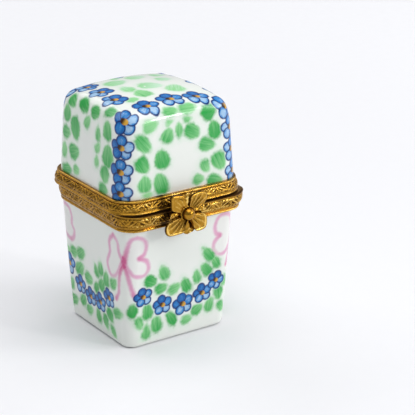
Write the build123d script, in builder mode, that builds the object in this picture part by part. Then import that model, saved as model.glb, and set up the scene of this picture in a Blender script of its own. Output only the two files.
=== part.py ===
from build123d import *

import os
from math import atan, degrees

# Porcelain trinket box: a tapered square base and a domed lid, each rimmed by a brass bezel.
#
# The two bezels meet at a seam, turn on a five-knuckle hinge at the back (+Y), and are held at the
# front (-Y) by a flower clasp whose slotted tongue drops over a stud.
# Millimetres, +Z up, origin at the centre of the foot. Each physical piece is one STEP in parts/.

os.makedirs("parts", exist_ok=True)

# ---- driving dimensions --------------------------------------------------------------------
total_height = 58.2

# Porcelain base: a rounded square that grows by base_draft per millimetre of height
foot_half = 13.5
foot_corner = 2.0
base_draft = 0.067
base_rim_z = 33.4
foot_edge_round = 0.8
foot_ring_width = 2.6
foot_recess = 0.6
wall = 2.5
well_floor_z = 3.2
well_floor_round = 1.3
well_corner = 1.5

# Porcelain lid: a rounded square that shrinks by lid_draft, closed by a shallow dome
lid_rim_z = 35.15
lid_rim_half = 15.85
lid_rim_corner = 5.0
lid_draft = 0.059
dome_radius = 92.0
shoulder_round = 3.6
lid_inner_corner = 3.2
lid_inner_shoulder = 1.8

# Brass bezels: a rolled strip with a bead along each edge and a flange over the porcelain rim
seam_low_z = 34.15
seam_high_z = 34.4
lower_bezel_z = 30.0
upper_bezel_z = 37.6
lower_crest = 17.3
upper_crest = 17.35
lower_bezel_shift = 0.7  # the lower bezel was set this far off centre towards +X
bead = 0.55
strip = 0.8

# Hinge
hinge_y = 18.0
hinge_z = (seam_low_z + seam_high_z) / 2
knuckle_radius = 1.1
notch_radius = 1.3
hinge_length = 16.0
knuckle_count = 5
knuckle_gap = 0.12
notch_end_gap = 0.3
pin_radius = 0.45
pin_clearance = 0.05
pin_stand_out = 0.45
solder_height = 0.95

# Clasp
clasp_x = -0.8
clasp_z = 33.3
tongue_back_y = -17.6
tongue_thickness = 0.75
tongue_width = 4.6
tongue_low_z = 29.4
tongue_high_z = 37.0
slot_width = 1.7
stud_radius = 0.75
stud_z = 32.0
stud_reach = 0.65
sepal_thickness = 0.4
sepal_reach = 4.4
sepal_angles = (-86, 5, 93, 184)  # from +Z towards +X; cast by hand, so a little uneven
petal_thickness = 0.75
petal_reach = 6.2
petal_width = 4.9
petal_angles = (-41, 51, 135, 232)
flower_bead_radius = 1.45

# ---- worked-out sizes ----------------------------------------------------------------------
base_taper = -degrees(atan(base_draft))
lid_taper = degrees(atan(lid_draft))
tongue_front_y = tongue_back_y - tongue_thickness
sepal_front_y = tongue_front_y - sepal_thickness
petal_front_y = sepal_front_y - petal_thickness


def base_half(z):
    """Half width of the base's outside at height z."""
    return foot_half + base_draft * z


def lid_half(z):
    """Half width of the lid's outside at height z."""
    return lid_rim_half - lid_draft * (z - lid_rim_z)


def finish(part, name):
    part.label = name
    export_step(part, f"parts/{name}.step")


def front_plane(y):
    """A plane facing -Y at that y, with its own X along +X and its own Y along +Z."""
    return Plane(origin=(0, y, 0), x_dir=(1, 0, 0), z_dir=(0, -1, 0))


# ---- porcelain base ------------------------------------------------------------------------
well_half = base_half(well_floor_z) - wall
with BuildPart() as base:
    with BuildSketch():
        RectangleRounded(2 * foot_half, 2 * foot_half, foot_corner)
    extrude(amount=base_rim_z, taper=base_taper)
    fillet(base.edges().group_by(Axis.Z)[0], foot_edge_round)
    recess_half = foot_half - foot_ring_width
    with BuildSketch():
        RectangleRounded(2 * recess_half, 2 * recess_half, well_corner)
    extrude(amount=foot_recess, mode=Mode.SUBTRACT)
    with BuildSketch(Plane.XY.offset(well_floor_z)):
        RectangleRounded(2 * well_half, 2 * well_half, well_corner)
    extrude(amount=base_rim_z - well_floor_z, taper=base_taper, mode=Mode.SUBTRACT)
    floor_face = base.faces().filter_by(Axis.Z).sort_by(Axis.Z)[-2]
    fillet(floor_face.edges(), well_floor_round)
finish(base.part, "porcelain_base")


# ---- porcelain lid -------------------------------------------------------------------------
def domed_block(half, corner, top_z, radius, shoulder):
    """A solid rounded square from the lid's rim up, drafted inwards and closed by a rounded dome."""
    with BuildPart() as block:
        with BuildSketch(Plane.XY.offset(lid_rim_z)):
            RectangleRounded(2 * half, 2 * half, corner)
        extrude(amount=top_z - lid_rim_z + 1, taper=lid_taper)
        with Locations((0, 0, top_z - radius)):
            Sphere(radius, mode=Mode.INTERSECT)
        dome_face = block.faces().sort_by(Axis.Z)[-1]
        fillet(dome_face.edges(), shoulder)
    return block.part


lid_outside = domed_block(
    lid_rim_half, lid_rim_corner, total_height, dome_radius, shoulder_round
)
lid_inner_half = lid_rim_half - wall
lid_inside = domed_block(
    lid_inner_half,
    lid_inner_corner,
    total_height - wall,
    dome_radius - wall,
    lid_inner_shoulder,
)
with BuildPart() as lid:
    add(lid_outside)
    add(lid_inside, mode=Mode.SUBTRACT)
finish(lid.part, "porcelain_lid")


# ---- bezels and the plaster they are bedded on ---------------------------------------------
def around(half, corner):
    """A closed rounded-square path at z = 0 that starts at the middle of the front."""
    with BuildLine() as path:
        FilletPolyline((0, -half), (half, -half), (half, half), (0, half), radius=corner)
        mirror(about=Plane.YZ)
    return path.wire()


def swept(outline, path):
    """Sweeps a closed outline around the path. Its X is the half width and its Y is height."""
    section_plane = Plane(origin=(0, 0, 0), x_dir=(0, -1, 0), z_dir=(-1, 0, 0))
    with BuildPart() as solid:
        with BuildSketch(section_plane):
            with BuildLine():
                for points in outline:
                    if len(points) == 2:
                        Line(*points)
                    else:
                        ThreePointArc(*points)
            make_face()
        sweep(path=path)
    return solid.part


def bezel_sections(wall_at, edge_z, rim_z, seam_z, crest, inner_half):
    """Outlines of one bezel and of its plaster bed. Both reach into the porcelain, to be cut back."""
    up = 1 if seam_z > edge_z else -1
    edge = wall_at(edge_z)
    inside = edge - 1.5
    lip_z = edge_z + up * bead
    shoulder_z = seam_z - up * bead
    lip = edge + strip
    band_low = (lip + 0.05, lip_z)
    band_high = (crest - 0.12, shoulder_z)
    band_mid = (crest - 0.02, lip_z + 0.62 * (shoulder_z - lip_z))
    bed_z = edge_z + up * strip
    bed_low = (edge, bed_z)
    bed_high = (crest - strip, rim_z)
    bed_mid = (crest - strip - 0.3, (bed_z + rim_z) / 2)
    metal = [
        ((inside, edge_z), (lip + 0.05, edge_z)),
        ((lip + 0.05, edge_z), (lip + 0.3, (edge_z + lip_z) / 2), band_low),
        (band_low, band_mid, band_high),
        (band_high, (crest + 0.1, (shoulder_z + seam_z) / 2), (crest - 0.12, seam_z)),
        ((crest - 0.12, seam_z), (inner_half, seam_z)),
        ((inner_half, seam_z), (inner_half, rim_z)),
        ((inner_half, rim_z), bed_high),
        (bed_high, bed_mid, bed_low),
        (bed_low, (inside, bed_z)),
        ((inside, bed_z), (inside, edge_z)),
    ]
    plaster = [
        ((inside, rim_z), bed_high),
        (bed_high, bed_mid, bed_low),
        (bed_low, (inside, bed_z)),
        ((inside, bed_z), (inside, rim_z)),
    ]
    return metal, plaster


def bezel_pair(name, porcelain, shift, wall_at, corner_centre, edge_z, rim_z, seam_z, crest, inner):
    """Writes a bed and returns its bezel, both fitted to the porcelain and notched for the hinge."""
    metal, plaster = bezel_sections(wall_at, edge_z, rim_z, seam_z, crest, inner)
    path_half = crest - strip
    path = around(path_half, path_half - corner_centre)
    with BuildPart() as bed:
        with Locations((shift, 0, 0)):
            add(swept(plaster, path))
        add(porcelain, mode=Mode.SUBTRACT)
    finish(bed.part, f"{name}_plaster_bed")
    with BuildPart() as bezel:
        with Locations((shift, 0, 0)):
            add(swept(metal, path))
        add(porcelain, mode=Mode.SUBTRACT)
        with Locations(Location((0, hinge_y, hinge_z), (0, 90, 0))):
            Cylinder(
                notch_radius, hinge_length + 2 * notch_end_gap, mode=Mode.SUBTRACT
            )
    return bezel


lower_bezel = bezel_pair(
    "lower",
    base.part,
    lower_bezel_shift,
    base_half,
    foot_half - foot_corner,
    lower_bezel_z,
    base_rim_z,
    seam_low_z,
    lower_crest,
    base_half(base_rim_z) - wall + 0.5,
)
upper_bezel = bezel_pair(
    "upper",
    lid.part,
    0,
    lid_half,
    lid_rim_half - lid_rim_corner,
    upper_bezel_z,
    lid_rim_z,
    seam_high_z,
    upper_crest,
    lid_inner_half,
)
finish(lower_bezel.part, "lower_bezel")
finish(upper_bezel.part, "upper_bezel")

# ---- hinge: three knuckles soldered to the lower bezel, two to the upper --------------------
pitch = hinge_length / knuckle_count
knuckle_names = [
    "hinge_knuckle_lower_left",
    "hinge_knuckle_upper_left",
    "hinge_knuckle_lower_middle",
    "hinge_knuckle_upper_right",
    "hinge_knuckle_lower_right",
]
for i, knuckle_name in enumerate(knuckle_names):
    on_lid = "upper" in knuckle_name
    centre_x = (i - (knuckle_count - 1) / 2) * pitch
    length = pitch - knuckle_gap
    bore = pin_radius + (pin_clearance if on_lid else 0)
    side = 1 if on_lid else -1
    seam_gap = (seam_high_z - seam_low_z) / 2
    with BuildPart() as solder:
        with Locations(Location((centre_x, hinge_y, hinge_z), (0, 90, 0))):
            Cylinder(notch_radius, length)
        with Locations(
            (
                centre_x,
                hinge_y - notch_radius / 2,
                hinge_z + side * (seam_gap + solder_height / 2),
            )
        ):
            Box(length, notch_radius, solder_height, mode=Mode.INTERSECT)
    with BuildPart() as knuckle:
        with Locations(Location((centre_x, hinge_y, hinge_z), (0, 90, 0))):
            Cylinder(knuckle_radius, length)
        add(solder.part)
        with Locations(Location((centre_x, hinge_y, hinge_z), (0, 90, 0))):
            Cylinder(bore, length, mode=Mode.SUBTRACT)
    finish(knuckle.part, knuckle_name)

with BuildPart() as hinge_pin:
    pin_length = hinge_length - knuckle_gap + 2 * pin_stand_out
    with Locations(Location((0, hinge_y, hinge_z), (0, 90, 0))):
        Cylinder(pin_radius, pin_length)
    ends = hinge_pin.faces().filter_by(Axis.X)
    fillet(ends.edges(), 0.6 * pin_radius)
finish(hinge_pin.part, "hinge_pin")

# ---- catch stud on the lower bezel ----------------------------------------------------------
stud_back_y = -(lower_crest - strip)
stud_front_y = -(lower_crest + stud_reach)
with BuildPart() as catch_stud:
    with BuildSketch(front_plane(stud_back_y)):
        with Locations((clasp_x, stud_z)):
            Circle(stud_radius)
    extrude(amount=stud_back_y - stud_front_y)
    nose = catch_stud.faces().sort_by(Axis.Y)[0]
    fillet(nose.edges(), 0.5 * stud_radius)
    add(lower_bezel.part, mode=Mode.SUBTRACT)
    add(
        catch_stud.solids().sort_by(Axis.Y)[0], mode=Mode.REPLACE
    )  # the stretch that stands out of the bezel
finish(catch_stud.part, "catch_stud")

# ---- clasp: tongue soldered to the upper bezel, with the flower on its face -----------------
with BuildPart() as tongue:
    with BuildSketch(front_plane(tongue_back_y)) as tongue_outline:
        with Locations((clasp_x, (tongue_low_z + tongue_high_z) / 2)):
            RectangleRounded(tongue_width, tongue_high_z - tongue_low_z, 0.6)
    extrude(amount=tongue_thickness)
    pad_low_z = seam_high_z + 0.3
    pad_depth = -tongue_back_y - (upper_crest - strip)
    with BuildSketch(front_plane(tongue_back_y)):
        with Locations((clasp_x, (pad_low_z + tongue_high_z - 0.4) / 2)):
            Rectangle(tongue_width - 0.8, tongue_high_z - 0.4 - pad_low_z)
    extrude(amount=-pad_depth)
    add(upper_bezel.part, mode=Mode.SUBTRACT)
    add(tongue.solids().sort_by(Axis.Y)[0], mode=Mode.REPLACE)
    slot_low = tongue_low_z - 1
    slot_high = stud_z + slot_width / 2 + 0.1
    with BuildSketch(front_plane(tongue_back_y)):
        with Locations((clasp_x, (slot_low + slot_high) / 2)):
            SlotOverall(slot_high - slot_low, slot_width, rotation=90)
    extrude(amount=tongue_thickness, mode=Mode.SUBTRACT)
finish(tongue.part, "clasp_tongue")

with BuildSketch() as sepal:
    with BuildLine():
        sepal_tip = (sepal_reach, 0)
        ThreePointArc((0, -0.9), (2.4, -1.15), sepal_tip)
        ThreePointArc(sepal_tip, (2.4, 1.15), (0, 0.9))
        Line((0, 0.9), (0, -0.9))
    make_face()

with BuildPart() as sepals:
    with BuildSketch(front_plane(tongue_front_y)):
        with Locations((clasp_x, clasp_z)):
            Circle(1.9)
        for angle in sepal_angles:
            with Locations((clasp_x, clasp_z)):
                add(sepal.sketch, rotation=90 - angle)
    extrude(amount=sepal_thickness)
finish(sepals.part, "clasp_sepals")

# One petal along +X: it widens all the way to a nearly square outer end
petal_half = petal_width / 2
root_half = 0.45 * petal_half
with BuildSketch() as petal:
    with BuildLine():
        root_low, root_high = (0.4, -root_half), (0.4, root_half)
        end_low, end_high = (0.86 * petal_reach, -petal_half), (0.86 * petal_reach, petal_half)
        ThreePointArc(root_low, (0.5 * petal_reach, -0.84 * petal_half), end_low)
        ThreePointArc(end_low, (petal_reach, 0), end_high)
        ThreePointArc(end_high, (0.5 * petal_reach, 0.84 * petal_half), root_high)
        Line(root_high, root_low)
    make_face()
    outer_corners = petal.vertices().group_by(Axis.X)[-1]
    fillet(outer_corners, 0.6)

with BuildPart() as flower:
    with BuildSketch(front_plane(sepal_front_y)):
        with Locations((clasp_x, clasp_z)):
            Circle(1.9)
        for angle in petal_angles:
            with Locations((clasp_x, clasp_z)):
                add(petal.sketch, rotation=90 - angle)
    extrude(amount=petal_thickness)
finish(flower.part, "clasp_flower")

with BuildPart() as flower_bead:
    with Locations((clasp_x, petal_front_y - 0.35 * flower_bead_radius, clasp_z)):
        Sphere(flower_bead_radius)
    split(bisect_by=front_plane(petal_front_y), keep=Keep.TOP)
finish(flower_bead.part, "clasp_bead")
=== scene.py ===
"""Looks of the porcelain trinket box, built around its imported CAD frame.

Lengths are in millimetres until a mesh is made. The porcelain is painted by scalar layers on its
vertices, such as the distance to the edge of the nearest leaf, which its material turns into colour.
"""

from math import atan, copysign, cos, pi, radians, sin

import bpy
import numpy as np
from mathutils import Matrix, Vector


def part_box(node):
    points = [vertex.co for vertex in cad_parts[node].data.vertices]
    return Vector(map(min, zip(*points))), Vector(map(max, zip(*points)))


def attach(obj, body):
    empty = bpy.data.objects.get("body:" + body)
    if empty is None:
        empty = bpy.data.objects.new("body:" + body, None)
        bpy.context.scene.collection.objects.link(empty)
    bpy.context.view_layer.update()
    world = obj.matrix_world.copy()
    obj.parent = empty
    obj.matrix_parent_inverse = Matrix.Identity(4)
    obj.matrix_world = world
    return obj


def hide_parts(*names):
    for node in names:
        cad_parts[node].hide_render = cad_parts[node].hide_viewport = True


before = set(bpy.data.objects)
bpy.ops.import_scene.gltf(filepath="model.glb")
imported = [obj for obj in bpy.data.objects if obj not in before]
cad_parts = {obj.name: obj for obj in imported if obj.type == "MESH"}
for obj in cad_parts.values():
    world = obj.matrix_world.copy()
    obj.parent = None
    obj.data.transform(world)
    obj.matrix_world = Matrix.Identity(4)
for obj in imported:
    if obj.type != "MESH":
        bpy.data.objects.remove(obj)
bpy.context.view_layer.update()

MM = 0.001
scene = bpy.context.scene
rng = np.random.default_rng(48)


def box_mm(node):
    """A CAD node's lowest and highest corners, in millimetres."""
    low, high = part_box(node)
    return low / MM, high / MM


# ---- sizes shared with the CAD model ----
_, base_high = box_mm("porcelain_base")
lid_low, lid_high = box_mm("porcelain_lid")
lower_low, lower_high = box_mm("lower_bezel")
upper_low, upper_high = box_mm("upper_bezel")
pin_low, pin_high = box_mm("hinge_pin")
tongue_low, tongue_high = box_mm("clasp_tongue")
_, petals_high = box_mm("clasp_flower")

WALL = 2.5
BASE_DRAFT = 0.067
BASE_CORNER_CENTRE = 11.5
BASE_RIM_Z, BASE_RIM_HALF = base_high.z, base_high.x
FOOT_HALF = BASE_RIM_HALF - BASE_DRAFT * BASE_RIM_Z
FOOT_ROUND = 1.2
FOOT_CORNER, FOOT_REACH = 1.0, 28.0  # how much rounder the foot's corners are, and up to where
FOOT_SWELL = (0.6, 0.3)  # how far the foot stands out to -X and to +X
FOOT_RECESS_HALF, FOOT_RECESS = FOOT_HALF - 2.6, 0.6
WELL_FLOOR_Z, WELL_FLOOR_ROUND, WELL_CORNER = 3.2, 1.3, 1.5

LID_DRAFT = 0.059
LID_CORNER_CENTRE = 10.85
LID_RIM_Z, LID_RIM_HALF, LID_TOP_Z = lid_low.z, lid_high.x, lid_high.z
DOME_RADIUS = 92.0
DOME_CENTRE_Z = LID_TOP_Z - DOME_RADIUS
SHOULDER = 3.6
LID_INNER_CORNER_CENTRE, LID_INNER_SHOULDER = 10.15, 1.8

BEAD, STRIP = 0.55, 0.8
HINGE_Y, HINGE_Z = (pin_low.y + pin_high.y) / 2, (pin_low.z + pin_high.z) / 2
NOTCH_RADIUS, NOTCH_HALF_LENGTH = 1.3, 8.3
CLASP_X, CLASP_Z = (tongue_low.x + tongue_high.x) / 2, 33.3
PETAL_BACK_Y = petals_high.y


# ---- meshes ----
def rounded_ring(half, corner, side_steps, corner_steps):
    """A rounded square's points and outward normals, anticlockwise from the middle of the front."""
    flat = half - corner
    run = np.linspace(0, 1, side_steps // 2, endpoint=False)
    turn = np.linspace(0, pi / 2, corner_steps, endpoint=False)
    c, s = np.cos(turn), np.sin(turn)
    parts = (
        (flat * run, 0 * run - half, 0 * run, 0 * run - 1),
        (flat + corner * s, -flat - corner * c, s, -c),
        (0 * run + half, -flat + flat * run, 0 * run + 1, 0 * run),
    )
    quarter = np.concatenate([np.column_stack(part) for part in parts])
    quarter, outward = quarter[:, :2].copy(), quarter[:, 2:].copy()
    points, normals = [], []
    for k in range(4):
        c, s = cos(k * pi / 2), sin(k * pi / 2)
        spin = np.array([[c, s], [-s, c]])
        points.append(quarter @ spin)
        normals.append(outward @ spin)
    return np.concatenate(points), np.concatenate(normals)


def unit(x):
    return np.clip(x, 0, 1)


def turned(x, y, turn):
    """Places as (along, across) for a direction turned anticlockwise by turn degrees."""
    c, s = cos(radians(turn)), sin(radians(turn))
    return c * x + s * y, c * y - s * x


def distance_along(ring):
    """Each point's distance along a closed ring, and the ring's length."""
    step = np.hypot(*(np.roll(ring, -1, 0) - ring).T)
    return np.cumsum(step) - step, step.sum()


def linked(name, data):
    obj = bpy.data.objects.new(name, data)
    scene.collection.objects.link(obj)
    return obj


def mesh_object(name, points, faces, layers=None):
    """A smooth object from points in millimetres, with float or vector layers on its points."""
    mesh = bpy.data.meshes.new(name)
    mesh.from_pydata((np.asarray(points) * MM).tolist(), [], faces)
    mesh.validate()
    for layer, values in (layers or {}).items():
        kind, key = ("FLOAT", "value") if values.ndim == 1 else ("FLOAT_VECTOR", "vector")
        attribute = mesh.attributes.new(layer, kind, "POINT")
        attribute.data.foreach_set(key, values.astype(np.float32).ravel())
    mesh.polygons.foreach_set("use_smooth", [True] * len(mesh.polygons))
    mesh.update()
    return linked(name, mesh)


def tube_faces(rows, columns, loop=False):
    """Quads over rows that each close on themselves. loop joins the last row to the first."""
    faces = []
    for r in range(rows if loop else rows - 1):
        a, b = r * columns, (r + 1) % rows * columns
        for c in range(columns):
            d = (c + 1) % columns
            faces.append((a + c, a + d, b + d, b + c))
    return faces


def sheet_faces(rows, columns, offset=0, flip=False):
    """Quads over an open grid of points."""
    grid = offset + np.arange(rows * columns).reshape(rows, columns)
    quads = np.stack([grid[:-1, :-1], grid[:-1, 1:], grid[1:, 1:], grid[1:, :-1]], -1).reshape(-1, 4)
    return (quads[:, ::-1] if flip else quads).tolist()


# ---- porcelain skins ----
# How far the lid's walls stand out to -X and to +X, the height where that ends, and how fast it fades
LID_SWELL, LID_SWELL_TOP, LID_SWELL_FADE = (0.35, 0.85), 54.3, 3.0
BASE_WALL_ROWS, WELL_WALL_ROWS = 134, 9
OUT_OF_REACH = 99.0
UNPAINTED = -OUT_OF_REACH  # paint height of every point that no motif reaches
TOP_PAINT_Z = LID_TOP_Z - 6  # motifs of the lid's top reach down to this paint height
EDGE_LAYERS = ("leaf", "petal", "eye", "ribbon", "ribbon_wash")  # distance inside a motif's edge
TONE_LAYERS = ("leaf_tone", "petal_tone", "eye_side", "ribbon_tone")


class Skin:
    """A closed porcelain shell of rings, from one pole outside, over the rim, to one inside.

    around is how far round its ring a point lies, and up is how far up the outside.
    """

    STEPS = (100, 34)  # along a side and round a corner

    def __init__(self):
        self.rows, self.around, self.length, self.up = [], [], [], []

    def add(self, half, corner, z, up=UNPAINTED):
        """A level ring, by its half width, corner radius and height."""
        ring, _ = rounded_ring(half, corner, *self.STEPS)
        self.place(ring, z, up)

    def place(self, ring, z, up):
        """A ring, by its plan points, its height and its paint height."""
        distance, length = distance_along(ring)
        self.rows.append(np.column_stack([ring, z + 0 * distance]))
        self.around.append(distance)
        self.length.append(length + 0 * distance)
        self.up.append(up + 0 * distance)

    def close(self, first_pole, last_pole):
        """Adds the poles and blank paint layers. The first pole may be the lower or the upper."""
        columns = len(self.rows[0])
        self.points = np.vstack([*self.rows, first_pole, last_pole])
        self.around = np.concatenate([*self.around, [0.0, 0.0]])
        self.length = np.concatenate([*self.length, [1.0, 1.0]])
        self.up = np.concatenate([*self.up, [UNPAINTED, UNPAINTED]])
        self.faces = tube_faces(len(self.rows), columns)
        last = (len(self.rows) - 1) * columns
        for c in range(columns):
            d = (c + 1) % columns
            self.faces.append((last + columns, d, c))
            self.faces.append((last + c, last + d, last + columns + 1))
        if self.rows[0][0, 2] > self.rows[len(self.rows) // 2][0, 2]:
            self.faces = [face[::-1] for face in self.faces]
        count = len(self.points)
        self.layers = {name: np.full(count, -9.0) for name in EDGE_LAYERS}
        self.layers |= {name: np.zeros(count) for name in TONE_LAYERS}
        self.layers |= {"outline": np.full(count, 9.0), "grain": np.zeros((count, 3))}

    def local(self, side, u, v, turn=0.0):
        """Every point's place from (u, v) on a side, turned so that its first number runs along turn.

        Side 0 is the front, 1 the right, 2 the back and 3 the left; halves are the corners between
        them, and "top" is the plan seen from above.
        """
        if side == "top":
            x, y = self.points[:, 0] - u, self.points[:, 1] - v
            x = np.where(self.up > TOP_PAINT_Z, x, OUT_OF_REACH)
        else:
            x = self.around - side * self.length / 4 - u
            x = x - self.length * np.round(x / self.length)
            y = self.up - v
        return turned(x, y, turn)


def swell(side, reaches, power):
    """How far a point moves along X, for its x as a share of the half width."""
    left, right = reaches
    return right * unit(side) ** power - left * unit(-side) ** power


def base_skin():
    """The base from the middle of its underside, up its outside, over the rim and down its well."""
    skin = Skin()
    for share in (0.15, 0.4, 0.7, 0.97, 1):
        skin.add(share * FOOT_RECESS_HALF, share * WELL_CORNER, FOOT_RECESS)
    skin.add(FOOT_RECESS_HALF + 0.05, WELL_CORNER, 0.08)
    skin.add(FOOT_RECESS_HALF + 0.15, WELL_CORNER, 0.0)
    inner = FOOT_HALF + BASE_DRAFT * FOOT_ROUND - FOOT_ROUND
    skin.add(inner, inner - BASE_CORNER_CENTRE + FOOT_CORNER, 0.0)
    for angle in np.radians([20, 40, 60, 78]):
        half = inner + FOOT_ROUND * sin(angle)
        z = FOOT_ROUND * (1 - cos(angle))
        skin.add(half, half - BASE_CORNER_CENTRE + FOOT_CORNER, z)
    for z in np.linspace(FOOT_ROUND, BASE_RIM_Z - 0.2, BASE_WALL_ROWS):
        half = FOOT_HALF + BASE_DRAFT * z
        softer = FOOT_CORNER * max(1 - (z - FOOT_ROUND) / FOOT_REACH, 0) ** 2
        skin.add(half, half - BASE_CORNER_CENTRE + softer, z, up=z)
    for row in skin.rows:
        low = unit(1 - row[:, 2] / FOOT_REACH)
        row[:, 0] += low * swell(row[:, 0] / FOOT_HALF, FOOT_SWELL, 2)
    rim = BASE_RIM_HALF
    for half, z in ((rim - 0.2, BASE_RIM_Z), (rim - WALL + 0.2, BASE_RIM_Z)):
        skin.add(half, half - BASE_CORNER_CENTRE, z)
    floor_half = FOOT_HALF + BASE_DRAFT * WELL_FLOOR_Z - WALL
    corner_centre = floor_half - WELL_CORNER
    for z in np.linspace(BASE_RIM_Z - 0.2, WELL_FLOOR_Z + WELL_FLOOR_ROUND, WELL_WALL_ROWS):
        half = floor_half + BASE_DRAFT * (z - WELL_FLOOR_Z)
        skin.add(half, half - corner_centre, z)
    for angle in np.radians([22, 45, 67, 90]):
        half = floor_half - WELL_FLOOR_ROUND * (1 - cos(angle))
        z = WELL_FLOOR_Z + WELL_FLOOR_ROUND * (1 - sin(angle))
        skin.add(half, half - corner_centre + 0.01, z)
    for share in (0.8, 0.5, 0.2):
        skin.add(share * floor_half, share * WELL_CORNER, WELL_FLOOR_Z)
    skin.close((0, 0, FOOT_RECESS), (0, 0, WELL_FLOOR_Z))
    return skin


def dome_height(points, drop):
    """Height over plan points of the lid's dome, or of the surface that lies drop under it."""
    return DOME_CENTRE_Z + np.sqrt((DOME_RADIUS - drop) ** 2 - (points**2).sum(1))


def lid_rows(skin, rim_half, corner_centre, shoulder, drop, wall_rows, turn_rows, top_rows, paint):
    """Rings up a domed block: its drafted wall, its rounded shoulder and its top, to near the pole."""
    reach = rim_half - LID_DRAFT * (LID_TOP_Z - drop - LID_RIM_Z - shoulder)
    corner = max(reach - shoulder - corner_centre, 0.05)
    inner, normals = rounded_ring(reach - shoulder, corner, *skin.STEPS)
    pivot_z = dome_height(inner, drop + shoulder)
    tilt = np.arctan2(np.sqrt((inner**2).sum(1)), pivot_z - DOME_CENTRE_Z)
    start = atan(LID_DRAFT)
    end = pi / 2 - tilt * np.abs(normals * inner).sum(1) / np.hypot(*inner.T)
    rim_out, wall_out = rim_half - reach + shoulder, shoulder * cos(start)
    wall_z = pivot_z + shoulder * sin(start)
    rows = []
    for t in np.linspace(0, 1, wall_rows, endpoint=False):
        z = LID_RIM_Z + t * (wall_z - LID_RIM_Z)
        rows.append((inner + normals * (rim_out + t * (wall_out - rim_out)), z, z))
    for t in np.linspace(0, 1, turn_rows):
        angle = start + t * (end - start)
        out = shoulder * np.cos(angle)
        z = pivot_z + shoulder * np.sin(angle)
        rows.append((inner + normals * out[:, None], z, wall_z + shoulder * (angle - start)))
    edge, edge_z, edge_up = rows[-1]
    for t in np.linspace(0, 1, top_rows + 1, endpoint=False)[1:]:
        plan = edge * (1 - t)
        z = dome_height(plan, drop)
        z = z + (edge_z - dome_height(edge, drop)) * (1 - t) ** 6
        rows.append((plan, z, edge_up + t * np.abs(edge).max(1)))
    for plan, z, up in rows:
        skin.place(plan, z, up if paint else UNPAINTED)


def lid_skin():
    """The lid from the top of its dome down its outside, under the rim and up its inside."""
    outside, skin = Skin(), Skin()
    block = (LID_RIM_HALF, LID_CORNER_CENTRE, SHOULDER, 0.0)
    lid_rows(outside, *block, wall_rows=76, turn_rows=24, top_rows=40, paint=True)
    for row in outside.rows:
        low = unit((LID_SWELL_TOP - row[:, 2]) / LID_SWELL_FADE)
        row[:, 0] += low * swell(row[:, 0] / LID_RIM_HALF, LID_SWELL, 4)
    for field in ("rows", "around", "length", "up"):
        setattr(skin, field, getattr(outside, field)[::-1])
    hollow = (LID_RIM_HALF - WALL, LID_INNER_CORNER_CENTRE, LID_INNER_SHOULDER, WALL)
    lid_rows(skin, *hollow, wall_rows=8, turn_rows=6, top_rows=6, paint=False)
    skin.close((0, 0, LID_TOP_Z), (0, 0, LID_TOP_Z - WALL))
    return skin


# ---- painting ----
LEAF_GROWTH = 1.14  # the soft edge takes this much off a leaf's size
EYE_TURN = -25  # direction of a flower's eye, in degrees


def brush(skin, where, along, across):
    """Lays one brush stroke's grain over the points where it is seen."""
    seed = rng.uniform(0, 50)
    stroke = np.column_stack([along[where], across[where], np.full(where.sum(), seed)])
    skin.layers["grain"][where] = stroke


def paint_leaf(skin, side, u, v, length, width, turn, tone):
    """A plump brush-stroke leaf, wider towards its root and paler towards its tip."""
    a, b = skin.local(side, u, v, turn)
    a, half = a / (LEAF_GROWTH * length / 2), LEAF_GROWTH * width / 2
    edge = (1 - np.hypot(a, b / (half * (1 - 0.22 * a)))) * half
    over = edge > np.maximum(skin.layers["leaf"], -1.6)
    skin.layers["leaf"][over] = edge[over]
    skin.layers["leaf_tone"][over] = tone - 0.22 * a[over]
    brush(skin, over, 0.35 * a, 1.3 * b)


def paint_flower(skin, side, u, v, size, turn, pale):
    """A five-petal flower. Petals towards the direction pale are light, and the others deep."""
    layers = skin.layers
    x, y = skin.local(side, u, v)
    near = np.hypot(x, y) < 0.75 * size
    turns = turn + 72 * np.arange(5) + rng.uniform(-7, 7, 5)
    for k in (3, 1, 4, 2, 0):
        a, b = turned(x, y, turns[k])
        a -= 0.285 * size
        across = 0.212 * size * rng.uniform(0.94, 1.04)
        edge = (1 - np.hypot(a / (0.215 * size), b / across)) * across
        inside = near & (edge > 0)
        outside = near & (edge <= 0)
        lightness = 0.5 + 0.5 * cos(radians(turns[k]) - radians(pale))
        layers["outline"][inside] = edge[inside]
        layers["outline"][outside] = np.minimum(layers["outline"][outside], -edge[outside])
        layers["petal"][near] = np.maximum(layers["petal"][near], edge[near])
        layers["petal_tone"][inside] = lightness + 0.25 * a[inside] / size
        brush(skin, inside, 0.5 * a, 1.2 * b)
    a, b = turned(x, y, EYE_TURN)
    eye = (1 - np.hypot(a / (0.165 * size), b / (0.12 * size))) * 0.14 * size
    over = eye > np.maximum(layers["eye"], -1.0)
    layers["eye"][over] = eye[over]
    layers["eye_side"][over] = a[over] / (0.15 * size)


def smooth_line(points, samples=12):
    """A spline through each of a few points."""
    p = np.asarray(points, float)
    p = np.vstack([2 * p[0] - p[1], p, 2 * p[-1] - p[-2]])
    t = np.linspace(0, 1, samples, endpoint=False)[:, None]
    parts = []
    for k in range(1, len(p) - 2):
        a, b, c, d = p[k - 1 : k + 3]
        bend, swing = 2 * a - 5 * b + 4 * c - d, 3 * b - a - 3 * c + d
        parts.append(0.5 * (2 * b + (c - a) * t + bend * t**2 + swing * t**3))
    return np.vstack(parts + [p[-2:-1]])


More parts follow.
